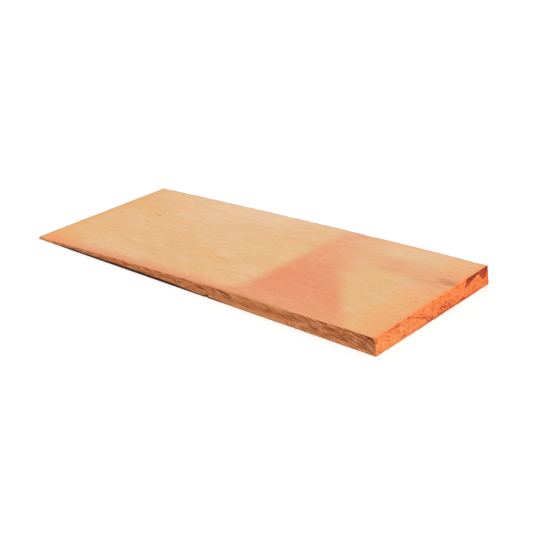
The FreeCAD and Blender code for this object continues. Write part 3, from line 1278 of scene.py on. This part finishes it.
def torn_hollow():
    """How deep the torn hollow under the top edge is at each point of the butt."""
    rags = noise(plain_place, *TEAR_RAGS)
    drop = below_top + swing(rags, DROP_RAGGED)
    end_gap, end_drop = FLAKE_END
    from_wall = end_gap - far_gap - (end_drop - below_top) * FLAKE_LEAN + swing(rags, WALL_RAGGED)
    walls = ramp(drop - TEAR_LIP, 0.0, TEAR_WALL) * ramp(from_wall, 0.0, TEAR_WALL)
    pocket = ramp(far_gap, *POCKET_SIDE)
    reach = SLIT_DROP + ramp(far_gap, *FLAKE_RISE) * FLAKE_DROP
    reach = reach + pocket * POCKET_DROPS[0] + ramp(far_gap, *POCKET_SLOPE) * POCKET_DROPS[1]
    rim = ramp(far_gap - (below_top - RIM_START).at_least(0.0) * RIM_LEAN, *POCKET_RIM)
    inside = ramp(reach - drop, 0.0, FLOOR_RUN[0] + pocket * FLOOR_RUN[1]) * rim
    return walls * inside * (SLIT_DEPTH + pocket * POCKET_EXTRA_DEPTH)


print("hollow", SLIT_DEPTH, "to", SLIT_DEPTH + POCKET_EXTRA_DEPTH, "mm deep")

# %% [markdown]
# The rest of the butt loses a little wood everywhere: fuzz from the saw, the soft rings and the dark
# pockets, which are carved by the formula that also colours them. The tip is so thin that it has
# splintered back here and there.

# %% Roughen both ends
FUZZ = ((9, 1.8, 1.8), 2.5, 3.0)
FUZZ_DEPTH = 0.5
RING_DEPTH = 0.12
SPECK_DEPTH = 0.45
TIP_BREAKS = ((9, 7.0, 3.0), 4.2, 4.0)
TIP_BREAK_LEVEL = 0.4  # the noise above which the tip is broken
TIP_BREAK_DEPTH = 2.0

end_loss = noise(plain_place, *FUZZ) * FUZZ_DEPTH + ring_lines(plain_place) * RING_DEPTH
end_loss = end_loss + end_specks(plain_place) * SPECK_DEPTH
end_loss = end_loss.at_least(torn_hollow())
tip_loss = (noise(plain_place, *TIP_BREAKS) - TIP_BREAK_LEVEL).at_least(0.0) * TIP_BREAK_DEPTH
print("ends roughened by about", FUZZ_DEPTH + RING_DEPTH, "mm")

# %% [markdown]
# ## Worn edges
#
# No sawn edge stays razor sharp. A Bevel modifier would round all of them alike. Here each edge is
# pressed in by its own small amount that changes along the board, so that it reads as handled wood. The
# butt's top edge is broken beside the hollow. The lower near edge is left sharp, because it lies on the
# floor.

# %% Wear the sharp edges
WEAR_SHARE = 0.3  # how far an edge is pressed in, as a share of the wear's reach
LEAST_REACH = 0.5
WORN_LIMITS = (0.45, 0.75)
LONG_WEAR = ((16, 30, 30), 7.9)
LONG_REACH = 1.6  # what wear adds to the reach, along the long edges
END_WEAR = ((30, 9, 30), 3.3)
END_REACH = 1.2
BROKEN_ACROSS = (38, 46, 56, 64)  # where the butt's top edge is broken, beside the hollow
BROKEN_REACH = 1.4


def worn(gap, other_gap, reach):
    """How far an edge is pressed in where two faces meet."""
    return (1 - gap / reach).at_least(0.0) * (1 - other_gap / reach).at_least(0.0) * reach * WEAR_SHARE


long_reach = LEAST_REACH + ramp(noise(plain_place, *LONG_WEAR), *WORN_LIMITS) * LONG_REACH
end_reach = LEAST_REACH + ramp(noise(plain_place, *END_WEAR), *WORN_LIMITS) * END_REACH
broken_reach = end_reach + stretch(plain_y, BROKEN_ACROSS) * BROKEN_REACH
wear_top_near = worn(near_gap, below_top, long_reach)
wear_top_far = worn(far_gap, below_top, long_reach)
wear_low_far = worn(far_gap, above_floor, long_reach)
wear_top_butt = worn(butt_gap, below_top, broken_reach)
wear_low_butt = worn(butt_gap, above_floor, end_reach)
wear_near_butt = worn(near_gap, butt_gap, end_reach)
wear_far_butt = worn(far_gap, butt_gap, end_reach)
print("edges worn by up to", round(WEAR_SHARE * (LEAST_REACH + LONG_REACH), 2), "mm")

# %% [markdown]
# ## Put every point in its place
#
# Now the losses are taken off the plain place. Each loss fades out some way in from its face, so the rows
# behind it squeeze together instead of folding over. Along the near edge the underside comes down to the
# floor, because there the photograph shows no gap under the board.

# %% Add up the losses
EDGE_FADE = 11.0  # how far in from a long edge the rows still give way to the carving
END_FADE = 13.0  # and from an end
NEAR_SAG_REACH = 70.0  # how far in under the board the underside hangs below the even bow

near_push = near_loss * ramp(near_gap, EDGE_FADE, 0.0) + wear_top_near + wear_near_butt
far_push = far_loss * ramp(far_gap, EDGE_FADE, 0.0) + wear_top_far + wear_low_far + wear_far_butt
butt_push = end_loss * ramp(butt_gap, END_FADE, 0.0) + wear_top_butt + wear_low_butt
butt_push = butt_push + wear_near_butt + wear_far_butt
tip_push = tip_loss * ramp(tip_gap, END_FADE, 0.0)
top_push = wear_top_near + wear_top_far + wear_top_butt
low_push = wear_low_far + wear_low_butt
low_push = low_push - bow * ramp(near_gap, NEAR_SAG_REACH, 0.0) * (1 - up)

final_place = board_tree.nodes.new("ShaderNodeCombineXYZ")
feed(board_tree, final_place.inputs[0], (plain_x - butt_push + tip_push) / MM)
feed(board_tree, final_place.inputs[1], (plain_y + near_push - far_push) / MM)
feed(board_tree, final_place.inputs[2], (plain_z - top_push + low_push) / MM)
print("places written in", len(board_tree.nodes), "nodes")

# %% [markdown]
# Before the points move, the mesh is told what the finishes have to know: how deep and how fresh each
# point of an edge is torn, how deep the butt is, and the gaps to the top and to the floor. Each face of
# the cube is numbered too, while its normal still points straight, because the numbers choose the finish
# later.

# %% Remember the depths and move the points
def remember(geometry, name, value, domain, kind="FLOAT"):
    """Stores a formula on the mesh under a name."""
    node = board_tree.nodes.new("GeometryNodeStoreNamedAttribute")
    node.data_type = kind
    node.domain = domain
    node.inputs["Name"].default_value = name
    board_tree.links.new(geometry, node.inputs["Geometry"])
    feed(board_tree, node.inputs["Value"], value)
    return node.outputs["Geometry"]


toward_x, toward_y, toward_z = parts_of("GeometryNodeInputNormal")
face_tests = (toward_z, toward_z * -1, toward_y * -1, toward_y, toward_x, toward_x * -1)
face_number = sum(test.over(0.5) * number for number, test in enumerate(face_tests))
on_near_half = (0.5 - across).over(0.0)
on_butt_half = (along - 0.5).over(0.0)
point_values = {
    "edge_depth": near_loss * on_near_half + far_loss * (1 - on_near_half),
    "edge_fresh": near_fresh * on_near_half,
    "end_depth": end_loss * on_butt_half,
    "top_gap": below_top,
    "floor_gap": above_floor,
}
geometry = remember(block.outputs["Mesh"], "face_number", face_number, "FACE")
for value_name, value in point_values.items():
    geometry = remember(geometry, value_name, value, "POINT")
move = board_tree.nodes.new("GeometryNodeSetPosition")
board_tree.links.new(geometry, move.inputs["Geometry"])
board_tree.links.new(final_place.outputs[0], move.inputs["Position"])
geometry = move.outputs["Geometry"]
print("tree has", len(board_tree.nodes), "nodes")

# %% [markdown]
# ## Unfold the faces
#
# An export paints the finishes onto one flat sheet. Left alone, it would cut the rough edges into
# thousands of scraps. So each of the six faces gets its own strip on that sheet, one above the other, as
# if the board's faces were laid out as veneers.

# %% Lay out the sheet
STRIP_GAP = 4.0

length, width = SIZES["Length"], SIZES["Width"]
tallest = max(SIZES["Near butt thickness"], SIZES["Far butt thickness"])
strip_heights = (width, width, tallest, tallest, tallest, SIZES["Tip thickness"])
strip_starts = [STRIP_GAP]
for height in strip_heights:
    strip_starts.append(strip_starts[-1] + height + STRIP_GAP)
sheet_side = max(strip_starts[-1], length + 2 * STRIP_GAP)

moved_x, moved_y, moved_z = (part * MM for part in parts_of("GeometryNodeInputPosition"))
from_tip = moved_x + HALF_LENGTH
from_near = moved_y + HALF_WIDTH
strip_axes = (
    (from_tip, from_near), (from_tip, from_near),
    (from_tip, moved_z), (from_tip, moved_z),
    (from_near, moved_z), (from_near, moved_z),
)
number_node = board_tree.nodes.new("GeometryNodeInputNamedAttribute")
number_node.inputs["Name"].default_value = "face_number"
stored_number = Formula(board_tree, number_node.outputs["Attribute"])


def is_face(number):
    """One on the faces with that number, and zero elsewhere."""
    return 1 - (stored_number - number).math("ABSOLUTE").over(0.5)


sheet_u = sum(is_face(number) * axes[0] for number, axes in enumerate(strip_axes))
sheet_v = sum(is_face(number) * (axes[1] + strip_starts[number]) for number, axes in enumerate(strip_axes))
sheet_place = board_tree.nodes.new("ShaderNodeCombineXYZ")
feed(board_tree, sheet_place.inputs[0], (sheet_u + STRIP_GAP) / sheet_side)
feed(board_tree, sheet_place.inputs[1], sheet_v / sheet_side)
geometry = remember(geometry, "OFBake", sheet_place.outputs[0], "CORNER", "FLOAT2")
print("sheet is", round(sheet_side), "mm square")

# %% [markdown]
# ## Give the faces their finish
#
# The tree ends as every tree of such a lesson does: instances are realized, and each face takes its
# material by its number. Only folds that are sharper than a splinter's are shaded as sharp, so the arrises
# stay crisp and the fibres soft.

# %% Smooth the faces, set the finishes and end the tree
SHARP_FOLD = math.radians(38)

fold = board_tree.nodes.new("GeometryNodeInputMeshEdgeAngle")
gentle = 1 - Formula(board_tree, fold.outputs["Unsigned Angle"]).over(SHARP_FOLD)
shade = board_tree.nodes.new("GeometryNodeSetShadeSmooth")
shade.domain = "EDGE"
board_tree.links.new(geometry, shade.inputs["Geometry"])
feed(board_tree, shade.inputs["Shade Smooth"], gentle)

realized = board_tree.nodes.new("GeometryNodeRealizeInstances")
board_tree.links.new(shade.outputs["Geometry"], realized.inputs["Geometry"])
geometry = realized.outputs["Geometry"]
FINISHES = (top_finish, under_finish, edge_finish, edge_finish, end_finish, end_finish)
for number, finish in enumerate(FINISHES):
    dress = board_tree.nodes.new("GeometryNodeSetMaterial")
    dress.inputs["Material"].default_value = finish
    feed(board_tree, dress.inputs["Selection"], is_face(number))
    board_tree.links.new(geometry, dress.inputs["Geometry"])
    geometry = dress.outputs["Geometry"]
outputs = board_tree.nodes.new("NodeGroupOutput")
board_tree.links.new(geometry, outputs.inputs["Board"])
print("finished tree has", len(board_tree.nodes), "nodes")

# %% [markdown]
# ## Turn the rule into a plain mesh
#
# The export wants meshes, not modifiers. The tree is put on an empty object, its inputs are set to the
# measured sizes by their identifiers, and new_from_object keeps what it makes. The result is counted and
# tested: a closed board has two faces at every edge.

# %% Run the tree
host = bpy.data.objects.new("host", bpy.data.meshes.new("host"))
scene.collection.objects.link(host)
modifier = host.modifiers.new("shingle_board", "NODES")
modifier.node_group = board_tree
for item in board_tree.interface.items_tree:
    if item.in_out == "INPUT":
        modifier[item.identifier] = SIZES[item.name]
depsgraph = bpy.context.evaluated_depsgraph_get()
board_mesh = bpy.data.meshes.new_from_object(host.evaluated_get(depsgraph))
bpy.data.objects.remove(host)

board_mesh.name = "shingle_board"
board = bpy.data.objects.new("shingle_board", board_mesh)
scene.collection.objects.link(board)
triangles = sum(len(polygon.vertices) - 2 for polygon in board_mesh.polygons)
edge_uses = {}
for polygon in board_mesh.polygons:
    for key in polygon.edge_keys:
        edge_uses[key] = edge_uses.get(key, 0) + 1
open_edges = sum(uses != 2 for uses in edge_uses.values())
print("triangles", triangles, "open edges", open_edges, "materials", len(board_mesh.materials))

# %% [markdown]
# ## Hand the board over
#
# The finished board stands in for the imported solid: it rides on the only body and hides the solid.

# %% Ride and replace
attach(board, "root")
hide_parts("shingle")
